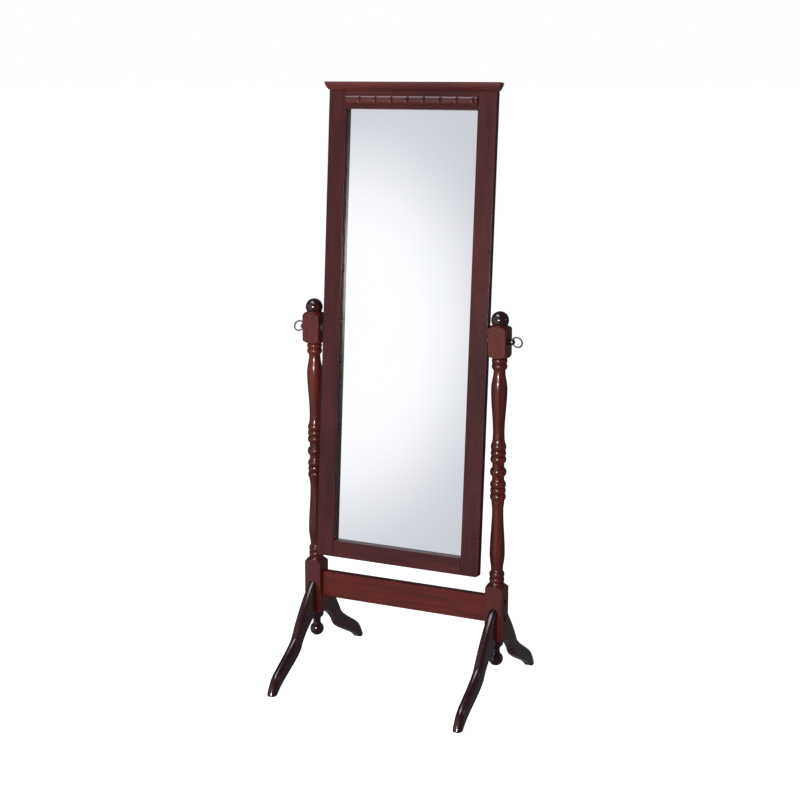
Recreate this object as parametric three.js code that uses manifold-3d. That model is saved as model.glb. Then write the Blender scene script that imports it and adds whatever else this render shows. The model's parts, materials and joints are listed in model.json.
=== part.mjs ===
// A cheval floor mirror: a tilting framed mirror carried between two turned posts on sabre legs.
// Millimetres, +Z up, the mirror faces -Y, +X is on the right of a person who looks into it.
// The origin is on the floor, midway between the posts.
import * as THREE from 'three';
import * as BufferGeometryUtils from 'three/addons/utils/BufferGeometryUtils.js';
import Module from 'manifold-3d';

const wasm = await Module();
wasm.setup();

// ---------------------------------------------------------------- driving dimensions

const GAP = 0.3; // clearance kept between touching pieces

const POST_X = 250.5; // post axis from the middle
const BLOCK = 45; // square of the posts' uncut blocks
const BLOCK_CORNER = 32.2; // turning radius that just clears the block's corners
const UPPER_BLOCK = { bottom: 866, top: 916 }; // heights between which the block is fully square
const LOWER_BLOCK = { bottom: 158, top: 279 };
const POST_BOTTOM = 147;
const POST_TOP = 933;
const BALL_TOP = 965;
const DROP_BOTTOM = 80.6;
const TENON = { radius: 6, length: 20 }; // turned tenon on each finial

const PIVOT_Z = 893;
const TILT = THREE.MathUtils.degToRad(4.3); // how far the mirror's top leans back at rest

const LEG_THICKNESS = 22;
const LEG_TOP = 232;
const LEG_ROUND = 2; // easing of the legs' long edges
const LEG_WASTE = 5; // length of a leg's blank beyond the face that meets its post
const DOWEL = { radius: 4, length: 24, inLeg: 12, heights: [172, 208] };

const STRETCHER = { bottom: 192.6, top: 259.7, thickness: 19.5 };
const STRETCHER_BOLT = { heights: [204.5, 247.5], radius: 3, headRadius: 6, headLength: 4, length: 76 };
const BARREL_NUT = { radius: 5, length: 15, fromBlock: 30 };

const FRAME = { halfWidth: 221.75, thickness: 17.5, bottom: -578.6, top: 587.3, corner: 8 };
const OPENING = { halfWidth: 174, bottom: -536.6, top: 542 };
const RABBET = { width: 6, depth: 3.6 };
const GLASS_THICKNESS = 3;
const BACKING = { halfWidth: 193, bottom: -555, top: 560, thickness: 3, corner: 6 };
const RAIL_TENON = { thickness: 6, length: 20, shoulder: 7 };
const CROWN = { height: 19.7, overhang: 9.9, fillet: 2.5, foot: 1.5 };
const BEADING = { height: 22, proud: 7, pitch: 43, first: 38, notch: 5, notchDepth: 3.4, bottom: 553 };

const RING_KNOB = { hubRadius: 7.3, hubOut: 9, ringOut: 21.5, ringRadius: 13, wire: 1.6 };
const RING_LEAN = { left: 24, right: 14 }; // degrees that each ring stands turned at rest
const PIVOT_BOLT = { radius: 3.9, inHub: 4, inInsert: 16 };
const OUTER_WASHER = { radius: 8.5, thickness: 1.8 };
const SPACER = { radius: 11, bore: 4.4 };
const INSERT = { radius: 6.2, bore: 4.4, length: 18 };
const SCREW = { radius: 1.6, headRadius: 3.6, headHeight: 1.8, length: 11 };

// ---------------------------------------------------------------- finishes

const finish = (color, roughness, metalness = 0) =>
  new THREE.MeshStandardMaterial({ color, roughness, metalness });

const POST_WOOD = finish(0x5a2c28, 0.32);
const DARK_WOOD = finish(0x33191a, 0.25);
const FRAME_WOOD = finish(0x4b2e30, 0.35);
const CROWN_WOOD = finish(0x5c2a28, 0.35);
const RAW_WOOD = finish(0xc8a678, 0.8);
const HARDBOARD = finish(0x6b4a33, 0.85);
const SILVERED_GLASS = finish(0xdfe5ea, 0.03, 1);
const AGED_BRASS = finish(0x6f6a5c, 0.4, 1);
const DARK_STEEL = finish(0x2d2c2c, 0.45, 1);
const ZINC = finish(0xa9abad, 0.35, 1);
const NYLON = finish(0x201c1b, 0.6);

// ---------------------------------------------------------------- solids and booleans

/** A closed, outward-facing manifold solid from a three.js geometry. */
function toSolid(source) {
  const bare = source.clone();
  bare.deleteAttribute('normal');
  bare.deleteAttribute('uv');
  const merged = BufferGeometryUtils.mergeVertices(bare, 1e-4);
  const position = merged.getAttribute('position').array;
  const index = merged.getIndex().array;
  const corners = (i) => [index[i], index[i + 1], index[i + 2]];
  const triangles = [];
  let volume = 0;
  for (let i = 0; i < index.length; i += 3) {
    const [a, b, c] = corners(i);
    if (a === b || b === c || c === a) continue;
    triangles.push(a, b, c);
    volume += signedVolume(position, a, b, c);
  }
  if (volume < 0) triangles.reverse();
  const mesh = new wasm.Mesh({
    numProp: 3,
    vertProperties: new Float32Array(position),
    triVerts: new Uint32Array(triangles),
  });
  return new wasm.Manifold(mesh);
}

function signedVolume(position, a, b, c) {
  const at = (i) => new THREE.Vector3().fromArray(position, 3 * i);
  return at(a).dot(at(b).cross(at(c))) / 6;
}

/** The three.js geometry of a manifold solid. */
function toGeometry(solid) {
  const mesh = solid.getMesh();
  const geometry = new THREE.BufferGeometry();
  geometry.setAttribute('position', new THREE.BufferAttribute(mesh.vertProperties, 3));
  geometry.setIndex(new THREE.BufferAttribute(mesh.triVerts, 1));
  geometry.computeVertexNormals();
  return geometry;
}

const cut = (solid, ...tools) => tools.reduce((rest, tool) => rest.subtract(tool), solid);
const join = (solid, ...others) => others.reduce((all, other) => all.add(other), solid);

/** A box given by its lowest and highest corners. */
function box([x0, y0, z0], [x1, y1, z1]) {
  const geometry = new THREE.BoxGeometry(x1 - x0, y1 - y0, z1 - z0);
  return toSolid(geometry.translate((x0 + x1) / 2, (y0 + y1) / 2, (z0 + z1) / 2));
}

/** A round rod from one X, Y or Z value to another, through the point `at`. */
function rod(axis, from, to, radius, at = [0, 0, 0], sides = 12) {
  const geometry = new THREE.CylinderGeometry(radius, radius, to - from, sides);
  geometry.translate(0, (from + to) / 2, 0);
  if (axis === 'x') geometry.rotateZ(-Math.PI / 2);
  if (axis === 'z') geometry.rotateX(Math.PI / 2);
  return toSolid(geometry.translate(...at));
}

/** A body turned about Z from [radius, height] points that start and end on the axis. */
function turned(profile, sides = 14) {
  const points = profile.map(([radius, height]) => new THREE.Vector2(radius, height));
  const geometry = new THREE.LatheGeometry(points, sides);
  return toSolid(geometry.rotateX(Math.PI / 2));
}

/** A flat board cut from a shape drawn in X and Z, from y0 to y1. */
function board(shape, y0, y1) {
  const geometry = new THREE.ExtrudeGeometry(shape, { depth: y1 - y0, bevelEnabled: false, curveSegments: 4 });
  return toSolid(geometry.rotateX(Math.PI / 2).translate(0, y1, 0));
}

// ---------------------------------------------------------------- turned profiles

/** Points of a rounded bead between two heights, swelling from `edge` to `crest`. */
function bead(bottom, top, edge, crest, steps = 3) {
  const points = [];
  for (let i = 0; i <= steps; i++) {
    const t = (2 * i) / steps - 1;
    const swell = (crest - edge) * Math.sqrt(1 - t * t);
    points.push([edge + swell, THREE.MathUtils.lerp(bottom, top, i / steps)]);
  }
  return points;
}

/** Points of a smooth S-shaped run from one radius to another. */
function sweep(fromRadius, fromHeight, toRadius, toHeight, steps = 4) {
  const points = [];
  for (let i = 0; i <= steps; i++) {
    const t = i / steps;
    const eased = (1 - Math.cos(Math.PI * t)) / 2;
    const radius = THREE.MathUtils.lerp(fromRadius, toRadius, eased);
    points.push([radius, THREE.MathUtils.lerp(fromHeight, toHeight, t)]);
  }
  return points;
}

/** Points of the rounded shoulder between a square block and the turning beside it. */
function shoulder(blockHeight, turningRadius, turningHeight, steps = 4) {
  const points = [];
  for (let i = 0; i <= steps; i++) {
    const angle = (i / steps) * (Math.PI / 2);
    const radius = turningRadius + (BLOCK_CORNER - turningRadius) * Math.cos(angle);
    points.push([radius, blockHeight + (turningHeight - blockHeight) * Math.sin(angle)]);
  }
  return points;
}

/** The whole post from bottom to top, blocks included at their corners' radius. */
function postProfile() {
  const bore = TENON.radius + GAP;
  const depth = TENON.length + 1;
  return [
    [0, POST_BOTTOM + depth],
    [bore, POST_BOTTOM + depth],
    [bore, POST_BOTTOM],
    ...shoulder(LOWER_BLOCK.bottom, 16.5, POST_BOTTOM).reverse(),
    ...sweep(BLOCK_CORNER, LOWER_BLOCK.top, 17.5, 295.7, 5),
    ...bead(295.7, 308.3, 17, 18.4).slice(1),
    ...bead(308.3, 322.5, 17, 18.4).slice(1, -1),
    ...sweep(14.8, 325.5, 18.8, 367, 3),
    ...sweep(18.8, 367, 14, 479, 4).slice(1),
    ...sweep(14, 479, 16, 503, 2).slice(1),
    ...bead(503, 520, 16, 19.3).slice(1),
    ...bead(520, 534.7, 16.4, 18.8).slice(1),
    ...bead(534.7, 549.5, 16.4, 19.4).slice(1, -1),
    [14.8, 556.5],
    ...bead(563.5, 583, 15.5, 20),
    [14.6, 588.8],
    ...bead(596, 612.7, 15.5, 19.4),
    ...bead(612.7, 627, 16.4, 18.6).slice(1),
    ...bead(627, 644, 16.4, 18.7).slice(1, -1),
    ...sweep(14.9, 652, 14.3, 669, 1),
    ...sweep(14.3, 669, 19.8, 777, 4).slice(1),
    ...sweep(19.8, 777, 14.3, 822, 3).slice(1),
    ...bead(825.5, 839.3, 16.5, 18.8),
    ...bead(839.3, 852, 16.5, 18.8).slice(1),
    ...shoulder(UPPER_BLOCK.bottom, 18.5, 853.5).reverse(),
    ...shoulder(UPPER_BLOCK.top, 19, 930),
    [18, POST_TOP],
    [bore, POST_TOP],
    [bore, POST_TOP - depth],
    [0, POST_TOP - depth],
  ];
}

/** The ball at a post's head, with the tenon that goes down into the post. */
function ballFinialProfile() {
  const foot = POST_TOP + GAP;
  const radius = 21.5;
  const centre = BALL_TOP - radius;
  const start = Math.asin((foot - centre) / radius);
  const points = [[0, POST_TOP - TENON.length], [TENON.radius, POST_TOP - TENON.length], [TENON.radius, foot]];
  const steps = 9;
  for (let i = 0; i <= steps; i++) {
    const angle = THREE.MathUtils.lerp(start, Math.PI / 2, i / steps);
    points.push([radius * Math.cos(angle), centre + radius * Math.sin(angle)]);
  }
  points[points.length - 1][0] = 0;
  return points;
}

/** The drop under a post: ball, slim neck, collar, and the tenon that goes up into the post. */
function dropFinialProfile() {
  const radius = 17.8;
  const centre = DROP_BOTTOM + radius;
  const steps = 7;
  const neckAngle = THREE.MathUtils.degToRad(52);
  const points = [];
  for (let i = 0; i <= steps; i++) {
    const angle = THREE.MathUtils.lerp(-Math.PI / 2, neckAngle, i / steps);
    points.push([radius * Math.cos(angle), centre + radius * Math.sin(angle)]);
  }
  points[0][0] = 0;
  return [
    ...points,
    [9.8, 119],
    [9.8, 124],
    [13, 131],
    [17.2, 136],
    [17.8, 139.5],
    [16.2, 142.5],
    [15, POST_BOTTOM - GAP],
    [TENON.radius, POST_BOTTOM - GAP],
    [TENON.radius, POST_BOTTOM + TENON.length],
    [0, POST_BOTTOM + TENON.length],
  ];
}

// ---------------------------------------------------------------- stand

/** A post: a turned blank squared at its two blocks, then drilled. Its outer side is +X. */
function postSolid() {
  const half = BLOCK / 2;
  const blank = box([-half, -half, POST_BOTTOM - 1], [half, half, POST_TOP + 1]);
  const tools = [rod('x', -half - 1, half + 1, PIVOT_BOLT.radius + 2 * GAP, [0, 0, PIVOT_Z])];
  for (const height of STRETCHER_BOLT.heights) {
    tools.push(rod('x', -half - 1, half + 1, STRETCHER_BOLT.radius + 2 * GAP, [0, 0, height]));
    const recess = half - STRETCHER_BOLT.headLength - 2;
    tools.push(rod('x', recess, half + 1, STRETCHER_BOLT.headRadius + 0.7, [0, 0, height]));
  }
  const depth = DOWEL.length - DOWEL.inLeg + GAP;
  for (const height of DOWEL.heights) {
    tools.push(rod('y', half - depth, half + 1, DOWEL.radius + GAP, [0, 0, height]));
    tools.push(rod('y', -half - 1, depth - half, DOWEL.radius + GAP, [0, 0, height]));
  }
  return cut(turned(postProfile()).intersect(blank), ...tools);
}

/** The outline of a sabre leg: X is the distance out from the post's axis, Y the height. */
function legShape() {
  const face = BLOCK / 2 + GAP;
  const shape = new THREE.Shape();
  shape.moveTo(face - LEG_WASTE, LEG_TOP + 3);
  shape.lineTo(face, LEG_TOP);
  shape.bezierCurveTo(57.6, 208.6, 105.5, 141.3, 117.6, 119.1);
  shape.bezierCurveTo(130.2, 95.9, 204.9, 61.1, 225, 43.5);
  shape.bezierCurveTo(236, 34, 246, 16, 250.5, 4);
  shape.lineTo(248, 0);
  shape.lineTo(229, 0);
  shape.bezierCurveTo(204, 26.9, 112.5, 56.6, 100.6, 81.3);
  shape.bezierCurveTo(89.6, 104.4, 50, 133.5, face, 148);
  shape.lineTo(face - LEG_WASTE, 148);
  return shape;
}

/** A leg with rounded long edges, cut flat where it meets its post and where it stands. */
function legSolid() {
  const geometry = new THREE.ExtrudeGeometry(legShape(), {
    depth: LEG_THICKNESS - 2 * LEG_ROUND,
    bevelThickness: LEG_ROUND,
    bevelSize: LEG_ROUND,
    bevelOffset: -LEG_ROUND,
    bevelSegments: 2,
    curveSegments: 6,
  });
  geometry.translate(0, 0, LEG_ROUND - LEG_THICKNESS / 2);
  geometry.rotateX(Math.PI / 2).rotateZ(Math.PI / 2);
  const face = BLOCK / 2 + GAP;
  const tools = [box([-50, face - 50, 0], [50, face, LEG_TOP + 50])];
  for (const height of DOWEL.heights) {
    tools.push(rod('y', face - 1, BLOCK / 2 + DOWEL.inLeg + GAP, DOWEL.radius + GAP, [0, 0, height]));
  }
  return cut(toSolid(geometry), ...tools);
}

/** A glued dowel between a leg and its post, pointing along +Y. */
function dowelSolid(height) {
  const middle = BLOCK / 2 + DOWEL.inLeg;
  return rod('y', middle - DOWEL.length, middle, DOWEL.radius, [0, 0, height]);
}

const STRETCHER_HALF = POST_X - BLOCK / 2 - GAP;
const NUT_X = POST_X - BLOCK / 2 - BARREL_NUT.fromBlock;

/** The stretcher board between the posts, drilled at both ends for its bolts and barrel nuts. */
function stretcherSolid() {
  const half = STRETCHER.thickness / 2;
  const plank = box([-STRETCHER_HALF, -half, STRETCHER.bottom], [STRETCHER_HALF, half, STRETCHER.top]);
  const tools = [];
  const tip = POST_X + BLOCK / 2 - STRETCHER_BOLT.length - 2;
  for (const height of STRETCHER_BOLT.heights) {
    for (const side of [-1, 1]) {
      const ends = [side * tip, side * (STRETCHER_HALF + 1)].sort((a, b) => a - b);
      tools.push(rod('x', ...ends, STRETCHER_BOLT.radius + 2 * GAP, [0, 0, height]));
      tools.push(rod('y', half - BARREL_NUT.length - 2, half + 1, BARREL_NUT.radius + GAP, [side * NUT_X, 0, height]));
    }
  }
  return cut(plank, ...tools);
}

/** A socket-head bolt through a post into the stretcher, its head on the +X side. */
function stretcherBoltSolid(height) {
  const seat = BLOCK / 2 - STRETCHER_BOLT.headLength - 2 + GAP;
  const top = seat + STRETCHER_BOLT.headLength;
  const at = [POST_X, 0, height];
  const shank = rod('x', seat - STRETCHER_BOLT.length + 8, seat + 1, STRETCHER_BOLT.radius, at);
  const head = rod('x', seat, top, STRETCHER_BOLT.headRadius, at);
  const socket = rod('x', top - 2.5, top + 1, 2.4, at, 6);
  return cut(join(head, shank), socket);
}

/** A barrel nut lying across the stretcher, cross-drilled for its bolt. */
function barrelNutSolid(height) {
  const end = STRETCHER.thickness / 2 - 1;
  const body = rod('y', end - BARREL_NUT.length, end, BARREL_NUT.radius, [NUT_X, 0, height]);
  const reach = BARREL_NUT.radius + 1;
  return cut(body, rod('x', NUT_X - reach, NUT_X + reach, STRETCHER_BOLT.radius + GAP, [0, 0, height]));
}

// ---------------------------------------------------------------- mirror frame

const FRONT = -FRAME.thickness / 2;
const BACK = FRAME.thickness / 2;

/** A rail's tenon, standing out of its end between two heights. */
function railTenon(side, bottom, top, grow = 0) {
  const reach = OPENING.halfWidth + RAIL_TENON.length + grow;
  const half = RAIL_TENON.thickness / 2 + grow;
  const [x0, x1] = [side * (OPENING.halfWidth - 5), side * reach].sort((a, b) => a - b);
  const shoulderTop = top - RAIL_TENON.shoulder + grow;
  return box([x0, -half, bottom + RAIL_TENON.shoulder - grow], [x1, half, shoulderTop]);
}

const RAILS = [
  { bottom: OPENING.top, top: FRAME.top },
  { bottom: FRAME.bottom, top: OPENING.bottom },
];

/** The stile on the +X side, mortised, rebated, bored for the pivot and drilled for screws. */
function stileSolid() {
  const shape = new THREE.Shape();
  shape.moveTo(OPENING.halfWidth, FRAME.bottom);
  shape.lineTo(FRAME.halfWidth - FRAME.corner, FRAME.bottom);
  const centreX = FRAME.halfWidth - FRAME.corner;
  shape.absarc(centreX, FRAME.bottom + FRAME.corner, FRAME.corner, -Math.PI / 2, 0, false);
  shape.lineTo(FRAME.halfWidth, FRAME.top);
  shape.lineTo(OPENING.halfWidth, FRAME.top);
  const outer = FRAME.halfWidth;
  const tools = [
    rabbetCutter(),
    rod('x', outer - INSERT.length - 1, outer + 1, INSERT.radius + GAP),
    ...RAILS.map((rail) => railTenon(1, rail.bottom, rail.top, GAP)),
    ...sideScrewPlaces().map(([x, z]) => screwHole(x, z)),
  ];
  return cut(board(shape, FRONT, BACK), ...tools);
}

/** The space behind the glass opening, wide enough for the glass to drop in from the back. */
function rabbetCutter() {
  const { width, depth } = RABBET;
  const reach = OPENING.halfWidth + width;
  return box([-reach, BACK - depth, OPENING.bottom - width], [reach, BACK + 1, OPENING.top + width]);
}

/** A rail between the stiles, tenoned at both ends. */
function railSolid(rail) {
  const end = OPENING.halfWidth - GAP;
  const body = box([-end, FRONT, rail.bottom], [end, BACK, rail.top]);
  const tenons = [-1, 1].map((side) => railTenon(side, rail.bottom, rail.top));
  const holes = railScrewPlaces().map(([x, z]) => screwHole(x, z));
  return cut(join(body, ...tenons), rabbetCutter(), ...holes);
}

/** The mirror glass, lying in the rebate with a little room all round. */
function glassSolid() {
  const front = BACK - RABBET.depth + GAP;
  const grow = RABBET.width - GAP;
  const half = OPENING.halfWidth + grow;
  const low = [-half, front, OPENING.bottom - grow];
  return box(low, [half, front + GLASS_THICKNESS, OPENING.top + grow]);
}

function backingShape() {
  const { halfWidth: w, bottom, top, corner: c } = BACKING;
  const shape = new THREE.Shape();
  shape.moveTo(-w + c, bottom);
  shape.lineTo(w - c, bottom);
  shape.absarc(w - c, bottom + c, c, -Math.PI / 2, 0, false);
  shape.lineTo(w, top - c);
  shape.absarc(w - c, top - c, c, 0, Math.PI / 2, false);
  shape.lineTo(-w + c, top);
  shape.absarc(-w + c, top - c, c, Math.PI / 2, Math.PI, false);
  shape.lineTo(-w, bottom + c);
  shape.absarc(-w + c, bottom + c, c, Math.PI, 1.5 * Math.PI, false);
  return shape;
}

/** The backing board, screwed over the back of the frame. */
function backingSolid() {
  const front = BACK + GAP;
  const places = [...sideScrewPlaces(), ...sideScrewPlaces().map(([x, z]) => [-x, z]), ...railScrewPlaces()];
  return cut(board(backingShape(), front, front + BACKING.thickness), ...places.map(([x, z]) => screwHole(x, z)));
}

/** Backing screw places on the +X stile, spread evenly up the board. */
function sideScrewPlaces() {
  const x = (OPENING.halfWidth + RABBET.width + BACKING.halfWidth) / 2;
  const count = 4;
  const margin = 40;
  const places = [];
  for (let i = 0; i < count; i++) {
    places.push([x, THREE.MathUtils.lerp(BACKING.bottom + margin, BACKING.top - margin, i / (count - 1))]);
  }
  return places;
}

/** Backing screw places in the middle of the two rails. */
function railScrewPlaces() {
  const inset = 6;
  return [[0, BACKING.top - inset], [0, BACKING.bottom + inset]];
}

function screwHole(x, z) {
  const deepest = BACK + BACKING.thickness - SCREW.length - 1;
  return rod('y', deepest, BACK + 20, SCREW.radius + GAP, [x, 0, z], 8);
}

/** A pan-head screw driven from the back, with a cross recess reduced to one slot. */
function screwSolid(x, z) {
  const seat = BACK + GAP + BACKING.thickness + GAP;
  const shank = rod('y', seat - SCREW.length, seat + 0.5, SCREW.radius, [x, 0, z], 8);
  const head = rod('y', seat, seat + SCREW.headHeight, SCREW.headRadius, [x, 0, z], 8);
  const top = seat + SCREW.headHeight;
  const slot = box([x - 2.2, top - 0.8, z - 0.4], [x + 2.2, top + 1, z + 0.4]);
  return cut(join(head, shank), slot);
}

/** The crown's side profile as [overhang, height] points, from its foot to its top edge. */
function crownProfile() {
  const { height, overhang, fillet, foot } = CROWN;
  const curve = new THREE.QuadraticBezierCurve(
    new THREE.Vector2(foot, 0),
    new THREE.Vector2(0.62 * overhang, 0.22 * height),
    new THREE.Vector2(overhang, height - fillet),
  );
  return [...curve.getPoints(5).map((p) => [p.x, p.y]), [overhang, height]];
}

/** The crown moulding, with its profile returned round both ends and a flat back. */
function crownSolid() {
  const base = FRAME.top + GAP;
  const profile = crownProfile();
  const ends = new THREE.Shape();
  const right = profile.map(([out, up]) => [FRAME.halfWidth + out, base + up]);
  const left = right.map(([x, z]) => [-x, z]).reverse();
  ends.setFromPoints([...right, ...left].map(([x, z]) => new THREE.Vector2(x, z)));
  const front = new THREE.Shape();
  const nose = profile.map(([out, up]) => new THREE.Vector2(FRONT - out, base + up));
  front.setFromPoints([new THREE.Vector2(BACK, base), ...nose, new THREE.Vector2(BACK, base + CROWN.height)]);
  const length = 2 * (FRAME.halfWidth + CROWN.overhang + 5);
  const bar = new THREE.ExtrudeGeometry(front, { depth: length, bevelEnabled: false });
  bar.rotateX(Math.PI / 2).rotateZ(Math.PI / 2).translate(-length / 2, 0, 0);
  return board(ends, FRONT - CROWN.overhang - 5, BACK).intersect(toSolid(bar));
}

/** The half-round beading on the top rail, notched into barrel-shaped lengths. */
function beadingSolid() {
  const { height, proud, pitch, first, notch, notchDepth, bottom } = BEADING;
  const half = OPENING.halfWidth - GAP;
  const section = new THREE.Shape();
  section.absellipse(FRONT - GAP, bottom + height / 2, proud, height / 2, Math.PI / 2, 1.5 * Math.PI, false);
  const bar = new THREE.ExtrudeGeometry(section, { depth: 2 * half, bevelEnabled: false, curveSegments: 5 });
  bar.rotateX(Math.PI / 2).rotateZ(Math.PI / 2).translate(-half, 0, 0);
  const tools = [];
  for (let x = first - half; x < half - notch; x += pitch) {
    tools.push(notchCutter(x, notch, notchDepth, proud));
  }
  return cut(toSolid(bar), ...tools);
}

/** A wedge that cuts one V notch across the beading. */
function notchCutter(x, width, depth, proud) {
  const { bottom, height } = BEADING;
  const wedge = new THREE.Shape();
  const surface = FRONT - GAP - proud;
  wedge.moveTo(x - width, surface - depth);
  wedge.lineTo(x + width, surface - depth);
  wedge.lineTo(x, surface + depth);
  const geometry = new THREE.ExtrudeGeometry(wedge, { depth: height + 4, bevelEnabled: false });
  return toSolid(geometry.translate(0, 0, bottom - 2));
}

// ---------------------------------------------------------------- pivot hardware, on the +X side

const BLOCK_FACE = POST_X + BLOCK / 2;

/** The ring screw's head: a round hub with a fixed ring, turned about X by `lean` degrees. */
function ringKnobSolid(lean) {
  const { hubRadius, hubOut, ringOut, ringRadius, wire } = RING_KNOB;
  const hub = new THREE.SphereGeometry(hubRadius, 12, 8);
  hub.translate(BLOCK_FACE + hubOut, 0, 0);
  const ring = new THREE.TorusGeometry(ringRadius, wire, 8, 24);
  ring.rotateX(Math.PI / 2 + THREE.MathUtils.degToRad(lean)).translate(BLOCK_FACE + ringOut, 0, 0);
  const collarStart = BLOCK_FACE + OUTER_WASHER.thickness + 2 * GAP;
  const collar = rod('x', collarStart, BLOCK_FACE + hubOut, 5.2);
  const socket = rod('x', BLOCK_FACE, collarStart + PIVOT_BOLT.inHub, PIVOT_BOLT.radius + GAP);
  return cut(join(toSolid(hub), collar, toSolid(ring)), socket);
}

/** The plain length of the ring screw, from its hub through the post into the stile. */
function pivotBoltSolid() {
  const collarStart = BLOCK_FACE + OUTER_WASHER.thickness + 2 * GAP;
  return rod('x', FRAME.halfWidth - PIVOT_BOLT.inInsert, collarStart + PIVOT_BOLT.inHub - GAP, PIVOT_BOLT.radius);
}

function washer(x0, x1, radius, bore) {
  return cut(rod('x', x0, x1, radius), rod('x', x0 - 1, x1 + 1, bore));
}

const outerWasherSolid = () =>
  washer(BLOCK_FACE + GAP, BLOCK_FACE + GAP + OUTER_WASHER.thickness, OUTER_WASHER.radius, PIVOT_BOLT.radius + GAP);

const spacerSolid = () =>
  washer(FRAME.halfWidth + GAP, POST_X - BLOCK / 2 - GAP, SPACER.radius, SPACER.bore);

const insertSolid = () =>
  washer(FRAME.halfWidth - INSERT.length, FRAME.halfWidth - GAP, INSERT.radius, INSERT.bore);

// ---------------------------------------------------------------- assembly

/** A named piece, placed in its parent group. */
function piece(parent, name, solid, material, turn = 0) {
  const mesh = new THREE.Mesh(toGeometry(solid), material);
  mesh.name = name;
  mesh.rotation.z = turn;
  parent.add(mesh);
  return mesh;
}

/** Everything that belongs to one post. The left side is the right side turned half round. */
function addPost(stand, side, turn) {
  const post = new THREE.Group();
  post.position.x = POST_X * Math.cos(turn);
  stand.add(post);
  piece(post, `${side}_post`, postSolid(), POST_WOOD, turn);
  piece(post, `${side}_ball_finial`, turned(ballFinialProfile()), DARK_WOOD);
  piece(post, `${side}_drop_finial`, turned(dropFinialProfile()), DARK_WOOD);
  for (const [end, legTurn] of [['rear', 0], ['front', Math.PI]]) {
    piece(post, `${end}_${side}_leg`, legSolid(), DARK_WOOD, legTurn);
    piece(post, `${end}_${side}_leg_dowel_lower`, dowelSolid(DOWEL.heights[0]), RAW_WOOD, legTurn);
    piece(post, `${end}_${side}_leg_dowel_upper`, dowelSolid(DOWEL.heights[1]), RAW_WOOD, legTurn);
  }
}

function addStretcherFixings(stand, side, turn) {
  const [low, high] = STRETCHER_BOLT.heights;
  for (const [level, height] of [['lower', low], ['upper', high]]) {
    piece(stand, `${side}_stretcher_bolt_${level}`, stretcherBoltSolid(height), DARK_STEEL, turn);
    const nut = piece(stand, `${side}_barrel_nut_${level}`, barrelNutSolid(height), ZINC);
    nut.position.x = turn ? -2 * NUT_X : 0;
  }
}

function addMirrorFrame(mirror) {
  piece(mirror, 'right_stile', stileSolid(), FRAME_WOOD);
  const left = stileSolid().mirror([1, 0, 0]);
  piece(mirror, 'left_stile', left, FRAME_WOOD);
  piece(mirror, 'top_rail', railSolid(RAILS[0]), FRAME_WOOD);
  piece(mirror, 'bottom_rail', railSolid(RAILS[1]), FRAME_WOOD);
  piece(mirror, 'crown_moulding', crownSolid(), CROWN_WOOD);
  piece(mirror, 'beading', beadingSolid(), CROWN_WOOD);
  piece(mirror, 'mirror_glass', glassSolid(), SILVERED_GLASS);
  piece(mirror, 'backing_board', backingSolid(), HARDBOARD);
  sideScrewPlaces().forEach(([x, z], i) => {
    piece(mirror, `right_backing_screw_${i + 1}`, screwSolid(x, z), ZINC);
    piece(mirror, `left_backing_screw_${i + 1}`, screwSolid(-x, z), ZINC);
  });
  const [top, bottom] = railScrewPlaces();
  piece(mirror, 'top_backing_screw', screwSolid(...top), ZINC);
  piece(mirror, 'bottom_backing_screw', screwSolid(...bottom), ZINC);
}

/** The ring screw and its washers on one side, about the pivot's axis. */
function addPivot(pivot, mirror, side, turn) {
  piece(pivot, `${side}_ring_knob`, ringKnobSolid(RING_LEAN[side]), AGED_BRASS, turn);
  piece(pivot, `${side}_pivot_bolt`, pivotBoltSolid(), DARK_STEEL, turn);
  piece(pivot, `${side}_outer_washer`, outerWasherSolid(), DARK_STEEL, turn);
  piece(mirror, `${side}_spacer_washer`, spacerSolid(), NYLON, turn);
  piece(mirror, `${side}_threaded_insert`, insertSolid(), ZINC, turn);
}

const chevalMirror = new THREE.Group();
const pivotAxis = new THREE.Group();
const mirrorFrame = new THREE.Group();
pivotAxis.position.z = PIVOT_Z;
mirrorFrame.position.z = PIVOT_Z;
mirrorFrame.rotation.x = -TILT;
chevalMirror.add(pivotAxis, mirrorFrame);

for (const [side, turn] of [['left', Math.PI], ['right', 0]]) {
  addPost(chevalMirror, side, turn);
  addStretcherFixings(chevalMirror, side, turn);
  addPivot(pivotAxis, mirrorFrame, side, turn);
}
piece(chevalMirror, 'stretcher', stretcherSolid(), POST_WOOD);
addMirrorFrame(mirrorFrame);

export default chevalMirror;
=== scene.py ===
import json
import math

import bmesh
import bpy
from mathutils import Matrix, Vector

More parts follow.
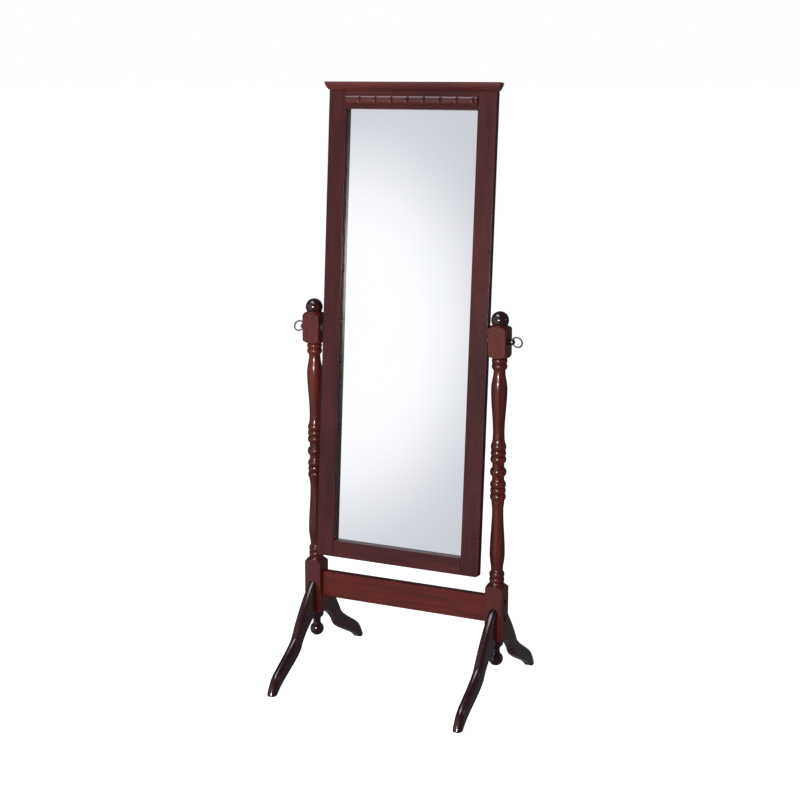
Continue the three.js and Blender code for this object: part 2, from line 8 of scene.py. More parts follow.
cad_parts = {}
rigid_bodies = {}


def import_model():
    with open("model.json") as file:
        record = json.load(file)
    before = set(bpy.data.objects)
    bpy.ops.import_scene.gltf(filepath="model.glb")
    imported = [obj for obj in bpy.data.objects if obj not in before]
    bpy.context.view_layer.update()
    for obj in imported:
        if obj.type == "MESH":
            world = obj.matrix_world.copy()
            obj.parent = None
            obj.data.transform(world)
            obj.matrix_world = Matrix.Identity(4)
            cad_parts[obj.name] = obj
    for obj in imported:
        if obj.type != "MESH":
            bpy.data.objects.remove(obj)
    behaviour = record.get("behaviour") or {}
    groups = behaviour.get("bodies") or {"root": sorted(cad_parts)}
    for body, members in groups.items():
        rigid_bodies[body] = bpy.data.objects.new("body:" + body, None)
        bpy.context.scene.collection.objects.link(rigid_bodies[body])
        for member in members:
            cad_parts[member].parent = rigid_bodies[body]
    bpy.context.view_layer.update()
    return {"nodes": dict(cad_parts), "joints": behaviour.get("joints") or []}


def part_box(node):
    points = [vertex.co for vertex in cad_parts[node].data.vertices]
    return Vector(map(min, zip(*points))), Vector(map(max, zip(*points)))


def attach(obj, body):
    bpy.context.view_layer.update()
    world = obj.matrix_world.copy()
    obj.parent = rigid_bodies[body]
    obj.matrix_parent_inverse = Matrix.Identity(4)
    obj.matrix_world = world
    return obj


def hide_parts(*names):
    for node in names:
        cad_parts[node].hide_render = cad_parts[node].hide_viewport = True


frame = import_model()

# ---------------------------------------------------------------- dimensions

MM = 0.001
SIDES = {"left": -1, "right": 1}

# Taken from the frame, in millimetres.
POST_X = sum(corner[0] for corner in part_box("right_post")) / 2 / MM
BLOCK_HALF = (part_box("right_post")[1][1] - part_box("right_post")[0][1]) / 2 / MM
POST_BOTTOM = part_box("right_post")[0][2] / MM
POST_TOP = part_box("right_post")[1][2] / MM
BALL_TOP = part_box("right_ball_finial")[1][2] / MM
DROP_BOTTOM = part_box("right_drop_finial")[0][2] / MM
STRETCHER_BOX = [[v / MM for v in corner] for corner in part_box("stretcher")]
PIVOT_Z = next(j for j in frame["joints"] if j["name"] == "mirror_tilt")["pos_m"][2] / MM

# The posts.
BLOCK_CORNER = 32.2
BLOCK_EASE = 1.2
UPPER_BLOCK = (866, 916)
LOWER_BLOCK = (158, 279)
POST_SIDES = 96
COUNTERBORE = {"radius": 6.7, "depth": 6}
BALL_RADIUS = 21.5
DROP_RADIUS = 17.8
DROP_NECK_ANGLE = math.radians(52)
FINIAL_SIDES = 72

# The legs: a closed outline in distance out from the post's axis, and height.
LEG_THICKNESS = 22
LEG_BACK_ROUNDING = 10.4
LEG_BELLY_ROUNDING = (1, 3.2)
LEG_RINGS = 72
LEG_BACK = [
    ((22.8, 232), (57.6, 208.6), (105.5, 141.3), (117.6, 119.1)),
    ((117.6, 119.1), (130.2, 95.9), (204.9, 61.1), (225, 43.5)),
    ((225, 43.5), (236, 34), (246, 16), (250.5, 4)),
]
LEG_BELLY = [
    ((22.8, 148), (50, 133.5), (89.6, 104.4), (100.6, 81.3)),
    ((100.6, 81.3), (112.5, 56.6), (204, 26.9), (229, 0)),
]
SOLE_HEEL = (248, 0)

# The tilting frame, in its own upright coordinates with the pivot as origin.
TILT = math.radians(4.3)
FRAME_HALF = 221.75
FRAME_THICK = 17.5
FRAME_BOTTOM = -578.6
FRAME_TOP = 587.3
FRAME_CORNER = 8
OPENING_HALF = 174
JOINT_GAP = 0.1
OPENING_BOTTOM = -536.6
OPENING_TOP = 542
RABBET = (6, 3.6)
GAP = 0.3
GLASS_THICK = 3
BACKING = {"half": 193, "bottom": -555, "top": 560, "thick": 3, "corner": 6}
CROWN = {"height": 19.7, "overhang": 9.9, "fillet": 2.5, "foot": 1.5}
BEADING = {"height": 22, "proud": 7, "pitch": 43, "first": 38, "notch": 5, "depth": 3.4, "bottom": 553}
SCREW = {"head": 3.6, "edge": 0.7, "dome": 1.1, "length": 11, "per_side": 4}

# The hardware.
BLOCK_FACE = POST_X + BLOCK_HALF
STRETCHER_BOLT_HEIGHTS = (204.5, 247.5)
NUT_X = POST_X - BLOCK_HALF - 30
NUT = {"radius": 5, "length": 15, "inset": 1, "hole": 5.3, "hole_depth": 17}
WASHER = {"radius": 8.5, "bore": 4.2, "thick": 1.8}
SPACER = {"radius": 11, "bore": 4.4}
RING = {"hub": 7.3, "hub_out": 9, "ring_out": 21.5, "radius": 12.6, "wire": 2}
RING_STEPS = {"around": 96, "wire": 20}
RING_LEAN = {"left": 24, "right": 14}

# Edges sharper than these angles are eased, or shaded as creases. EASE has the widths of the rounded
# edges. Cutters reach a little past the face they cut.
EASED_ANGLE = math.radians(40)
SMOOTH_ANGLE = math.radians(35)
EASE = {"stile": 1.3, "rail": 1.0, "stretcher": 1.6, "glass": 0.4, "backing": 0.5}
CUT_PAST = 2

# The studio. Directions are degrees left of the front and up. Each patch of sky has its
# half-widths in degrees, where its soft edge starts and ends, and its radiance.
# A light has its place, what it points at, its width and height, its power and its colour.
FLOOR_HALF = 200
FLOOR_GLOW = 0.9
WORLD_DIM = (0.10, 0.105, 0.12)
WORLD_LOBES = [
    ((27, -1.7), (6.8, 9.5), (0.32, 1.0), (0.46, 0.45, 0.41)),
    ((34, 4), (62, 50), (0.45, 1.25), (0.61, 0.602, 0.642)),
]
LIGHTS = [
    ("lamp", (0.30, -3.3, 1.12), (0, 0, 0.8), (0.32, 0.32), 130, (1.0, 0.93, 0.84)),
    ("window", (-0.85, -1.25, 4.0), (0, 0, 0.9), (2.4, 1.3), 75, (0.80, 0.86, 1.0)),
    ("side", (3.2, 0.55, 1.3), (0, 0, 0.7), (0.3, 0.6), 3, (0.92, 0.95, 1.0)),
]

CAMERA = {
    "place": (1.618, -3.443, 1.520),
    "turn": 25.34,
    "pitch": 10.49,
    "roll": 0.07,
    "lens": 70.9,
    "shift": -0.044,
}

# From each group's millimetres to the frame.
TO_STAND = Matrix.Scale(MM, 4)
TO_FRAME = Matrix.Translation((0, 0, PIVOT_Z * MM)) @ Matrix.Rotation(-TILT, 4, "X") @ TO_STAND


# ---------------------------------------------------------------- mesh helpers


def new_bmesh(points, faces):
    bm = bmesh.new()
    verts = [bm.verts.new(p) for p in points]
    for face in faces:
        bm.faces.new([verts[i] for i in face])
    bmesh.ops.recalc_face_normals(bm, faces=bm.faces)
    return bm


def tube(rings, closed_ends=True):
    """Skins rings of equal length. A ring of one point is a pole."""
    points, starts = [], []
    for ring in rings:
        starts.append(len(points))
        points.extend(ring)
    faces = []
    for a, b in zip(range(len(rings) - 1), range(1, len(rings))):
        na, nb = len(rings[a]), len(rings[b])
        count = max(na, nb)
        for i in range(count):
            j = (i + 1) % count
            quad = [starts[a] + i % na, starts[a] + j % na, starts[b] + j % nb, starts[b] + i % nb]
            faces.append(list(dict.fromkeys(quad)))
    if closed_ends:
        for k in (0, len(rings) - 1):
            if len(rings[k]) > 1:
                faces.append([starts[k] + i for i in range(len(rings[k]))])
    return new_bmesh(points, faces)


def turned(profile, sides, axis="z", at=(0, 0, 0), closed_ends=True):
    """A turned body from (radius, distance along the axis) points."""
    rings = []
    for radius, along in profile:
        count = sides if radius > 1e-6 else 1
        ring = []
        for i in range(count):
            angle = 2 * math.pi * i / sides
            u, v = radius * math.cos(angle), radius * math.sin(angle)
            local = (u, v, along) if axis == "z" else (along, u, v) if axis == "x" else (u, along, v)
            ring.append(Vector(at) + Vector(local))
        rings.append(ring)
    return tube(rings, closed_ends)


def rectangle(x0, z0, x1, z1):
    return [(x0, z0), (x1, z0), (x1, z1), (x0, z1)]


def prism(outline, y0, y1):
    """A flat board from an outline in X and Z, between two Y planes."""
    rings = [[(x, y, z) for x, z in outline] for y in (y0, y1)]
    return tube(rings)


def ease(bm, width, segments=3):
    """Rounds the sharp edges."""
    sharp = [e for e in bm.edges if e.is_manifold and e.calc_face_angle() > EASED_ANGLE]
    bmesh.ops.bevel(
        bm, geom=sharp, offset=width, segments=segments, profile=0.5, affect="EDGES", clamp_overlap=True
    )
    return bm


def arc(cx, cz, radius, start, end, steps=8):
    """Points of an arc, in degrees."""
    angles = [math.radians(start + (end - start) * i / steps) for i in range(steps + 1)]
    return [(cx + radius * math.cos(a), cz + radius * math.sin(a)) for a in angles]


def bezier(p0, p1, p2, p3, steps):
    """Points of a cubic curve."""
    points = []
    for i in range(steps + 1):
        t = i / steps
        weights = ((1 - t) ** 3, 3 * t * (1 - t) ** 2, 3 * t * t * (1 - t), t**3)
        points.append(tuple(sum(w * p[k] for w, p in zip(weights, (p0, p1, p2, p3))) for k in (0, 1)))
    return points


def chain(curves):
    """Points of curves that run on from each other."""
    points = [curves[0][0]]
    for curve in curves:
        points.extend(bezier(*curve, steps=24)[1:])
    return points


def spaced(points, count):
    """Points evenly spaced by length along a polyline."""
    lengths = [0]
    for a, b in zip(points, points[1:]):
        lengths.append(lengths[-1] + math.dist(a, b))
    out = []
    k = 0
    for i in range(count):
        want = lengths[-1] * i / (count - 1)
        while k < len(points) - 2 and lengths[k + 1] < want:
            k += 1
        t = (want - lengths[k]) / (lengths[k + 1] - lengths[k])
        out.append(tuple(a + (b - a) * t for a, b in zip(points[k], points[k + 1])))
    return out


def add_piece(node, bm, material, body, transform):
    """Makes a finished piece that rides on a CAD body and stands for a CAD node."""
    name = f"{node}_visual"
    bm.transform(transform)
    bmesh.ops.recalc_face_normals(bm, faces=bm.faces)
    mesh = bpy.data.meshes.new(name)
    bm.to_mesh(mesh)
    bm.free()
    mesh.shade_smooth()
    mesh.set_sharp_from_angle(angle=SMOOTH_ANGLE)
    obj = bpy.data.objects.new(name, mesh)
    bpy.context.collection.objects.link(obj)
    mesh.materials.append(material)
    weighted = obj.modifiers.new("flat_faces", "WEIGHTED_NORMAL")
    weighted.keep_sharp = True
    weighted.weight = 100
    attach(obj, body)
    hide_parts(node)
    return obj


def combine(bm, operation, others):
    """Cuts other bodies out of one, joins them to it, or keeps what it shares with them."""
    target = temporary(bm)
    for other in others:
        modifier = target.modifiers.new("combine", "BOOLEAN")
        modifier.operation = operation
        modifier.object = temporary(other)
        modifier.solver = "EXACT"
    return baked(target)


def temporary(bm):
    mesh = bpy.data.meshes.new("temporary")
    bm.to_mesh(mesh)
    bm.free()
    obj = bpy.data.objects.new("temporary", mesh)
    bpy.context.collection.objects.link(obj)
    return obj


def baked(obj):
    """The bmesh of an object with its modifiers applied. All temporary objects are removed."""
    shown = obj.evaluated_get(bpy.context.evaluated_depsgraph_get())
    bm = bmesh.new()
    bm.from_mesh(shown.to_mesh())
    shown.to_mesh_clear()
    for other in [o for o in bpy.data.objects if o.name.startswith("temporary")]:
        mesh = other.data
        bpy.data.objects.remove(other)
        bpy.data.meshes.remove(mesh)
    return bm


# ---------------------------------------------------------------- materials


class Nodes:
    """A short way to build a material's node tree."""

    def __init__(self, name):
        self.material = bpy.data.materials.new(name)
        self.material.use_nodes = True
        self.tree = self.material.node_tree
        self.shader = self.tree.nodes["Principled BSDF"]

    def add(self, kind, **settings):
        node = self.tree.nodes.new(kind)
        for key, value in settings.items():
            setattr(node, key, value)
        return node

    def link(self, source, target):
        self.tree.links.new(source, target)

    def place(self, scale, turn=(0, 0, 0)):
        """Object coordinates, scaled and turned."""
        coordinates = self.add("ShaderNodeTexCoord")
        mapping = self.add("ShaderNodeMapping")
        mapping.inputs["Scale"].default_value = scale
        mapping.inputs["Rotation"].default_value = turn
        self.link(coordinates.outputs["Object"], mapping.inputs["Vector"])
        return mapping.outputs["Vector"]

    def noise(self, vector, scale, detail=4.0, roughness=0.5, distortion=0.0):
        node = self.add("ShaderNodeTexNoise")
        settings = {"Scale": scale, "Detail": detail, "Roughness": roughness, "Distortion": distortion}
        for key, value in settings.items():
            node.inputs[key].default_value = value
        self.link(vector, node.inputs["Vector"])
        return node.outputs["Fac"]

    def ramp(self, value, stops):
        node = self.add("ShaderNodeValToRGB")
        elements = node.color_ramp.elements
        while len(elements) < len(stops):
            elements.new(0.5)
        for element, (position, color) in zip(elements, stops):
            element.position = position
            element.color = (*color, 1)
        self.link(value, node.inputs["Fac"])
        return node.outputs["Color"]

    def mix(self, a, b, factor, mode="MIX"):
        node = self.add("ShaderNodeMix", data_type="RGBA", blend_type=mode)
        for socket, value in ((node.inputs[0], factor), (node.inputs[6], a), (node.inputs[7], b)):
            if isinstance(value, bpy.types.NodeSocket):
                self.link(value, socket)
            elif isinstance(value, tuple):
                socket.default_value = (*value, 1)
            else:
                socket.default_value = value
        return node.outputs[2]

    def spread(self, value, low, high):
        """Maps a 0-1 value to a range."""
        node = self.add("ShaderNodeMapRange")
        node.inputs["To Min"].default_value = low
        node.inputs["To Max"].default_value = high
        self.link(value, node.inputs["Value"])
        return node.outputs["Result"]

    def bump(self, height, strength, distance, below=None):
        node = self.add("ShaderNodeBump")
        node.inputs["Strength"].default_value = strength
        node.inputs["Distance"].default_value = distance
        self.link(height, node.inputs["Height"])
        if below:
            self.link(below, node.inputs["Normal"])
        return node.outputs["Normal"]

    def set(self, **values):
        names = {"specular": "Specular IOR Level", "coat": "Coat Weight", "coat_roughness": "Coat Roughness"}
        for key, value in values.items():
            self.shader.inputs[names.get(key, key.title())].default_value = value

    def drive(self, name, source):
        self.link(source, self.shader.inputs[name])


BLACK = (0, 0, 0)
WHITE = (1, 1, 1)
GRAIN = {"x": (0.05, 1, 1), "y": (1, 0.05, 1), "z": (1, 1, 0.05)}


def lacquered_wood(name, dark, light, grain="z", turn=(0, 0, 0), gloss=0.28, specular=0.3, coat=0.3):
    """Stained, lacquered hardwood: long streaks, faint growth bands, pores, and a slightly uneven gloss."""
    n = Nodes(name)
    along = n.place(GRAIN[grain], turn)
    even = n.place((1, 1, 1), turn)
    streaks = n.ramp(n.noise(along, 95, 9, 0.62, 0.6), [(0.3, BLACK), (0.72, WHITE)])
    bands = n.ramp(n.noise(along, 22, 3, 0.5, 1.4), [(0.32, BLACK), (0.68, WHITE)])
    pores = n.noise(along, 900, 2, 0.6)
    deep_pores = n.ramp(pores, [(0.6, BLACK), (0.75, WHITE)])
    patches = n.ramp(n.noise(even, 5, 2, 0.5), [(0.35, (0.75, 0.72, 0.75)), (0.65, (1.18, 1.12, 1.1))])
    color = n.mix(dark, light, n.mix(streaks, bands, 0.45))
    color = n.mix(color, tuple(0.45 * c for c in dark), n.spread(deep_pores, 0, 0.5))
    color = n.mix(color, patches, 0.7, "MULTIPLY")
    n.drive("Base Color", color)
    n.drive("Roughness", n.spread(n.noise(even, 30, 4), gloss - 0.06, gloss + 0.08))
    grain_bump = n.bump(pores, 0.18, 0.0002)
    n.drive("Normal", n.bump(n.noise(even, 55, 2), 0.1, 0.0006, grain_bump))
    n.set(specular=specular, coat=coat, coat_roughness=0.08)
    return n.material


def raw_wood(name, color):
    """Bare wood with fine streaks."""
    n = Nodes(name)
    streaks = n.noise(n.place(GRAIN["y"]), 140, 6, 0.6, 0.4)
    n.drive("Base Color", n.mix(tuple(0.6 * c for c in color), color, streaks))
    n.drive("Normal", n.bump(streaks, 0.3, 0.0003))
    n.set(roughness=0.8)
    return n.material


def hardboard(name, color):
    """Pressed fibre board: fine mottled fibres."""
    n = Nodes(name)
    even = n.place((1, 1, 1))
    fibres = n.noise(even, 420, 8, 0.7, 1.5)
    clouds = n.noise(even, 14, 3, 0.6)
    mottled = n.mix(tuple(0.62 * c for c in color), tuple(1.25 * c for c in color), fibres)
    n.drive("Base Color", n.mix(mottled, tuple(0.8 * c for c in color), n.spread(clouds, 0, 0.7)))
    n.drive("Roughness", n.spread(fibres, 0.5, 0.75))
    n.drive("Normal", n.bump(fibres, 0.25, 0.0004))
    return n.material


def metal(name, color, tarnish, roughness, scale=90):
    """Plated or blackened metal with a little tarnish and fine scratches."""
    n = Nodes(name)
    even = n.place((1, 1, 1))
    stains = n.noise(even, scale, 6, 0.65, 0.5)
    scratches = n.noise(n.place((1, 1, 0.1)), 1400, 3, 0.5)
    n.drive("Base Color", n.mix(color, tarnish, n.ramp(stains, [(0.4, BLACK), (0.7, WHITE)])))
    n.drive("Roughness", n.spread(stains, roughness - 0.08, roughness + 0.14))
    n.drive("Normal", n.bump(scratches, 0.08, 0.0001))
    n.set(metallic=1)
    return n.material


def nylon(name, color):
    """Dull plastic with a fine grit."""
    n = Nodes(name)
    grit = n.noise(n.place((1, 1, 1)), 1500, 3)
    n.drive("Base Color", n.mix(tuple(0.7 * c for c in color), tuple(1.4 * c for c in color), grit))
    n.drive("Normal", n.bump(grit, 0.15, 0.0001))
    n.set(roughness=0.55)
    return n.material


def silvered_glass(name):
    """The silver seen through clear glass, with the faintest haze."""
    n = Nodes(name)
    haze = n.noise(n.place((1, 1, 1)), 6, 3, 0.5)
    n.drive("Base Color", n.mix((0.83, 0.855, 0.87), (0.87, 0.89, 0.9), haze))
    n.drive("Roughness", n.spread(haze, 0.004, 0.02))
    n.set(metallic=1)
    return n.material


def edge_glass(name):
    """The ground edge and the painted back of the mirror."""
    n = Nodes(name)
    grit = n.noise(n.place((1, 1, 1)), 700, 3)
    n.drive("Base Color", n.mix((0.05, 0.075, 0.07), (0.09, 0.12, 0.11), grit))
    n.set(roughness=0.5)
    return n.material


POST_WOOD = lacquered_wood(
    "post_wood", (0.018, 0.0030, 0.0026), (0.076, 0.0105, 0.0076), specular=0.2, coat=0.22
)
STRETCHER_WOOD = lacquered_wood(
    "stretcher_wood", (0.020, 0.003, 0.0027), (0.086, 0.0105, 0.0075), "x", specular=0.14, coat=0.12
)
DARK_WOOD = lacquered_wood("dark_wood", (0.005, 0.0014, 0.0017), (0.018, 0.0036, 0.0038), gloss=0.2, coat=0.6)
LEG_GRAIN = (math.radians(-40), 0, 0)
LEG_WOOD = lacquered_wood(
    "leg_wood", (0.007, 0.0016, 0.0018), (0.026, 0.0046, 0.0048), "y", LEG_GRAIN, gloss=0.2, coat=0.5
)
STILE_WOOD = lacquered_wood(
    "stile_wood", (0.012, 0.0029, 0.0034), (0.043, 0.0080, 0.0088), specular=0.14, coat=0.09
)
RAIL_WOOD = lacquered_wood(
    "rail_wood", (0.014, 0.0035, 0.0038), (0.050, 0.0092, 0.0094), "x", specular=0.14, coat=0.09
)
CROWN_WOOD = lacquered_wood("crown_wood", (0.019, 0.0036, 0.0034), (0.069, 0.0118, 0.0094), "x", coat=0.22)
RAW_WOOD = raw_wood("raw_wood", (0.55, 0.38, 0.20))
HARDBOARD = hardboard("hardboard", (0.16, 0.085, 0.045))
SILVER = silvered_glass("silvered_glass")
GLASS_EDGE = edge_glass("glass_edge")
AGED_BRASS = metal("aged_brass", (0.19, 0.195, 0.17), (0.07, 0.07, 0.055), 0.3)
BRONZED_STEEL = metal("bronzed_steel", (0.26, 0.13, 0.12), (0.15, 0.08, 0.07), 0.42)
DARK_STEEL = metal("dark_steel", (0.05, 0.05, 0.05), (0.02, 0.018, 0.016), 0.42)
ZINC = metal("zinc", (0.5, 0.51, 0.52), (0.32, 0.32, 0.31), 0.34)
NYLON = nylon("nylon", (0.02, 0.018, 0.017))


# ---------------------------------------------------------------- posts


def bead(bottom, top, edge, crest, steps=12):
    """(radius, height) points of a rounded bead."""
    points = []
    for i in range(steps + 1):
        angle = math.pi * i / steps
        height = bottom + (top - bottom) * (1 - math.cos(angle)) / 2
        points.append((edge + (crest - edge) * math.sin(angle), height))
    return points


def sweep(from_radius, from_height, to_radius, to_height, step=3.0):
    """(radius, height) points of a smooth S-shaped run."""
    steps = max(3, round(abs(to_height - from_height) / step))
    points = []
    for i in range(steps + 1):
        t = i / steps
        eased = (1 - math.cos(math.pi * t)) / 2
        radius = from_radius + (to_radius - from_radius) * eased
        points.append((radius, from_height + (to_height - from_height) * t))
    return points


def shoulder(block_height, turning_radius, turning_height, steps=26):
    """(radius, height) points of the round shoulder where a square block meets the turning."""
    points = []
    for i in range(steps + 1):
        angle = (i / steps) * math.pi / 2
        radius = turning_radius + (BLOCK_CORNER - turning_radius) * math.cos(angle)
        points.append((radius, block_height + (turning_height - block_height) * math.sin(angle)))
    return points


def post_profile():
    """The whole post from bottom to top, its blocks at their corners' radius."""
    return [
        *shoulder(LOWER_BLOCK[0], 16.5, POST_BOTTOM)[::-1],
        *sweep(BLOCK_CORNER, LOWER_BLOCK[1], 17.5, 295.7, 0.6),
        *bead(295.7, 308.3, 16, 18.7)[1:],
        *bead(308.3, 322.5, 16, 18.7)[1:-1],
        *sweep(14.8, 325.5, 18.8, 367),
        *sweep(18.8, 367, 14, 479)[1:],
        *sweep(14, 479, 16, 503)[1:],
        *bead(503, 520, 15.6, 19.5)[1:],
        *bead(520, 534.7, 15.8, 19)[1:],
        *bead(534.7, 549.5, 15.8, 19.5)[1:-1],
        (15.3, 551.5),
        (14.8, 556.5),
        (15.0, 561.5),
        *bead(563.5, 583, 15, 20.2),
        (14.7, 585.5),
        (14.6, 592),
        *bead(596, 612.7, 15, 19.5),
        *bead(612.7, 627, 15.8, 18.9)[1:],
        *bead(627, 644, 15.8, 19)[1:-1],
        *sweep(14.9, 652, 14.3, 669),
        *sweep(14.3, 669, 19.8, 777)[1:],
        *sweep(19.8, 777, 14.3, 822)[1:],
        *bead(825.5, 839.3, 15.6, 19),
        *bead(839.3, 852, 15.8, 19)[1:],
        *shoulder(UPPER_BLOCK[0], 18.5, 853.5)[::-1],
        *shoulder(UPPER_BLOCK[1], 19, 930),
        (18.6, 932),
        (18, POST_TOP),
    ]


def block_prism(sign):
    """The square stock of a post, its long corners eased."""
    centre = BLOCK_HALF - BLOCK_EASE
    outline = []
    for sx, sy, start in ((1, 1, 0), (-1, 1, 90), (-1, -1, 180), (1, -1, 270)):
        outline += arc(sign * POST_X + sx * centre, sy * centre, BLOCK_EASE, start, start + 90, 4)
    return tube([[(x, y, z) for x, y in outline] for z in (POST_BOTTOM - 1, POST_TOP + 1)])


def post_mesh(sign):
    """Square stock turned on the lathe, with counterbores for the stretcher bolts in its outer side."""
    lathed = turned(post_profile(), POST_SIDES, "z", (sign * POST_X, 0, 0))
    radius = COUNTERBORE["radius"]
    ends = sorted((sign * (BLOCK_FACE - COUNTERBORE["depth"]), sign * (BLOCK_FACE + CUT_PAST)))
    bore = [(0, ends[0]), (radius, ends[0]), (radius, ends[1]), (0, ends[1])]
    cutters = [turned(bore, 40, "x", (0, 0, height)) for height in STRETCHER_BOLT_HEIGHTS]
    return combine(combine(lathed, "INTERSECT", [block_prism(sign)]), "DIFFERENCE", cutters)


def ball_profile(centre, radius, start, end):
    """(radius, height) points up a ball, between two angles from its equator."""
    steps = 32
    angles = [start + (end - start) * i / steps for i in range(steps + 1)]
    return [(radius * math.cos(a), centre + radius * math.sin(a)) for a in angles]


def ball_finial_mesh(sign):
    """A ball with a flat foot on the post's top."""
    centre = BALL_TOP - BALL_RADIUS
    foot = POST_TOP + GAP
    ball = ball_profile(centre, BALL_RADIUS, math.asin((foot - centre) / BALL_RADIUS), math.pi / 2)
    ball[-1] = (0, BALL_TOP)
    return turned([(0, foot), *ball], FINIAL_SIDES, "z", (sign * POST_X, 0, 0))


def drop_finial_mesh(sign):
    """Ball, slim neck and collar under a post."""
    ball = ball_profile(DROP_BOTTOM + DROP_RADIUS, DROP_RADIUS, -math.pi / 2, DROP_NECK_ANGLE)
    ball[0] = (0, DROP_BOTTOM)
    profile = [
        *ball,
        (10.2, 115.5),
        (9.8, 118),
        (9.8, 123),
        (10.6, 126.5),
        *sweep(10.6, 126.5, 17.2, 136, 1)[1:],
        *bead(136, 143, 16.2, 17.8, 10)[1:],
        (15, POST_BOTTOM - GAP),
        (0, POST_BOTTOM - GAP),
    ]
    return turned(profile, FINIAL_SIDES, "z", (sign * POST_X, 0, 0))


def rounded_section(half_x, half_s, back, belly):
    """(x, s) points round a leg's section: back is the rounding at +s, belly the one at -s."""
    corners = [(1, 1, back), (-1, 1, back), (-1, -1, belly), (1, -1, belly)]
    points = []
    for k, (sx, ss, radius) in enumerate(corners):
        radius = min(radius, half_x * 0.98, half_s * 0.98)
        points += arc(sx * (half_x - radius), ss * (half_s - radius), radius, 90 * k, 90 * k + 90, 10)
    return points


def leg_mesh(side, end):
    """A sabre leg, its back rounded over and its belly eased, lofted from the post to the sole."""
    back = spaced([*chain(LEG_BACK), SOLE_HEEL], LEG_RINGS)
    belly = spaced(chain(LEG_BELLY), LEG_RINGS)
    away = 1 if end == "rear" else -1
    rings = []
    for k, (top, low) in enumerate(zip(back, belly)):
        middle = [(a + b) / 2 for a, b in zip(top, low)]
        length = math.dist(top, low)
        axis = [(a - b) / length for a, b in zip(top, low)]
        least, full = LEG_BELLY_ROUNDING
        belly_rounding = least + (full - least) * min(1, k / 2)
        section = rounded_section(LEG_THICKNESS / 2, length / 2, LEG_BACK_ROUNDING, belly_rounding)
        ring = []
        for x, s in section:
            out, height = middle[0] + axis[0] * s, middle[1] + axis[1] * s
            ring.append((SIDES[side] * POST_X + x, away * out, height))
        rings.append(ring)
    return tube(rings)


def stretcher_mesh():
    """The board between the posts, with blind holes for the barrel nuts in its back."""
    low, high = STRETCHER_BOX
    board = ease(prism(rectangle(low[0], low[2], high[0], high[2]), low[1], high[1]), EASE["stretcher"], 4)
    ends = (high[1] - NUT["hole_depth"], high[1] + CUT_PAST)
    hole = [(0, ends[0]), (NUT["hole"], ends[0]), (NUT["hole"], ends[1]), (0, ends[1])]
    places = [(sign * NUT_X, 0, height) for height in STRETCHER_BOLT_HEIGHTS for sign in SIDES.values()]
    return combine(board, "DIFFERENCE", [turned(hole, 36, "y", place) for place in places])


def build_stand():
    def piece(name, bm, material, slot):
        add_piece(name, bm, material, "stand", TO_STAND)

    for side, sign in SIDES.items():
        piece(f"{side}_post", post_mesh(sign), POST_WOOD, "post_wood")
        piece(f"{side}_ball_finial", ball_finial_mesh(sign), DARK_WOOD, "dark_wood")
        piece(f"{side}_drop_finial", drop_finial_mesh(sign), DARK_WOOD, "dark_wood")
        for end in ("front", "rear"):
            piece(f"{end}_{side}_leg", leg_mesh(side, end), LEG_WOOD, "dark_wood")
    piece("stretcher", stretcher_mesh(), STRETCHER_WOOD, "post_wood")


# ---------------------------------------------------------------- mirror frame

FRONT = -FRAME_THICK / 2
BACK = FRAME_THICK / 2


def mirrored(bm, sign):
    """The +X piece, or its mirror image."""
    if sign < 0:
        bm.transform(Matrix.Scale(-1, 4, (1, 0, 0)))
        bmesh.ops.reverse_faces(bm, faces=bm.faces)
    return bm


def stile_mesh(sign):
    """A stile with a rounded lower corner, eased edges and the rebate for the glass."""
    centre = FRAME_HALF - FRAME_CORNER
    outline = [
        (OPENING_HALF + JOINT_GAP, FRAME_BOTTOM),
        *arc(centre, FRAME_BOTTOM + FRAME_CORNER, FRAME_CORNER, -90, 0),
        (FRAME_HALF, FRAME_TOP),
        (OPENING_HALF + JOINT_GAP, FRAME_TOP),
    ]
    board = ease(prism(outline, FRONT, BACK), EASE["stile"])
    width, depth = RABBET
    rebate = rectangle(0, OPENING_BOTTOM - width, OPENING_HALF + width, OPENING_TOP + width)
    return mirrored(combine(board, "DIFFERENCE", [prism(rebate, BACK - depth, BACK + CUT_PAST)]), sign)


def rail_mesh(bottom, top, opening_side):
    """A rail between the stiles, its opening edge eased and rebated."""
    end = OPENING_HALF - JOINT_GAP
    board = ease(prism(rectangle(-end, bottom, end, top), FRONT, BACK), EASE["rail"])
    width, depth = RABBET
    past = 5
    if opening_side < 0:
        rebate = rectangle(-end - past, bottom - CUT_PAST, end + past, bottom + width)
    else:
        rebate = rectangle(-end - past, top - width, end + past, top + CUT_PAST)
    return combine(board, "DIFFERENCE", [prism(rebate, BACK - depth, BACK + CUT_PAST)])


def glass_mesh():
    """The glass, in the rebate behind the opening."""
    front = BACK - RABBET[1] + GAP
    grow = RABBET[0] - GAP
    half = OPENING_HALF + grow
    outline = rectangle(-half, OPENING_BOTTOM - grow, half, OPENING_TOP + grow)
    return ease(prism(outline, front, front + GLASS_THICK), EASE["glass"], 2)


def backing_mesh():
    """The board behind the glass, with rounded corners."""
    half, bottom, top, corner = BACKING["half"], BACKING["bottom"], BACKING["top"], BACKING["corner"]
    outline = []
    corners = ((1, bottom, -90), (1, top, 0), (-1, top, 90), (-1, bottom, 180))
    for sx, z, start in corners:
        cz = z + corner if z == bottom else z - corner
        outline += arc(sx * (half - corner), cz, corner, start, start + 90)
    front = BACK + GAP
    return ease(prism(outline, front, front + BACKING["thick"]), EASE["backing"], 2)


